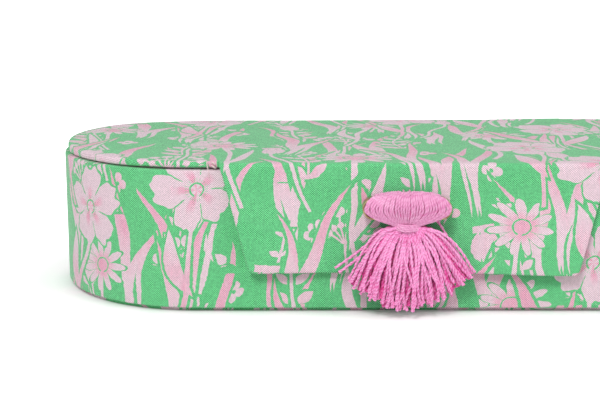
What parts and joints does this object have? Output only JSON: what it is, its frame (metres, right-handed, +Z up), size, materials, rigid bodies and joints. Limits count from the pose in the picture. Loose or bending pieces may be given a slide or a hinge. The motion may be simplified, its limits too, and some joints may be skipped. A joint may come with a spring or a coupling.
{
  "type": "cloth-covered keepsake box",
  "caption": "Low obround box in printed cloth, with a hinged lid board, a hanging trapezoid front flap and a thread tassel on an oval metal ring.",
  "frame": {"origin": "on the table, under the middle of the box, at the foot panel's lower face", "axes": "+X along the box's length, +Y towards the hinged back, +Z up; the flap and tassel hang at the front, towards -Y"},
  "size_m": [0.1954, 0.0904, 0.0407],
  "materials": {
    "printed_cloth": "plain-weave printed cotton, matte",
    "board": "grey bookbinder's board",
    "lining_cloth": "plain-weave cotton, matte",
    "magnet_plating": "nickel-plated magnet",
    "ring_brass": "polished brass",
    "tassel_thread": "plied cotton thread"
  },
  "bodies": {
    "base": {"base_panel_card": "board", "base_panel_cover": "printed_cloth", "wall_board": "board", "wall_magnets": "magnet_plating", "wall_cover": "printed_cloth", "floor_board": "board", "wall_lining": "lining_cloth", "floor_pad": "lining_cloth", "back_hinge_cloth": "printed_cloth"},
    "lid": {"lid_hinge_cloth": "printed_cloth", "lid_board": "board", "lid_cover": "printed_cloth", "lid_lining": "lining_cloth", "flap_hinge_cloth": "printed_cloth"},
    "flap": {"flap_board": "board", "flap_magnets": "magnet_plating", "flap_cover": "printed_cloth", "flap_lining": "lining_cloth"},
    "tassel": {"tassel_ring": "ring_brass", "tassel_head_core": "tassel_thread", "tassel_head_winding": "tassel_thread", "tassel_neck_binding": "tassel_thread", "tassel_skirt": "tassel_thread", "tassel_stitch": "tassel_thread"}
  },
  "joints": [
    {"name": "lid_hinge", "type": "hinge", "parent": "base", "child": "lid", "pos_m": [0, 0.041, 0.03875], "axis": [-1, 0, 0], "range_deg": [0, 180]},
    {"name": "flap_hinge", "type": "hinge", "parent": "lid", "child": "flap", "pos_m": [0, -0.0427, 0.0407], "axis": [-1, 0, 0], "range_deg": [0, 180]},
    {"name": "tassel_swing", "type": "hinge", "parent": "flap", "child": "tassel", "pos_m": [-0.00265, -0.04285, 0.0347], "axis": [-1, 0, 0], "range_deg": [0, 60]}
  ]
}
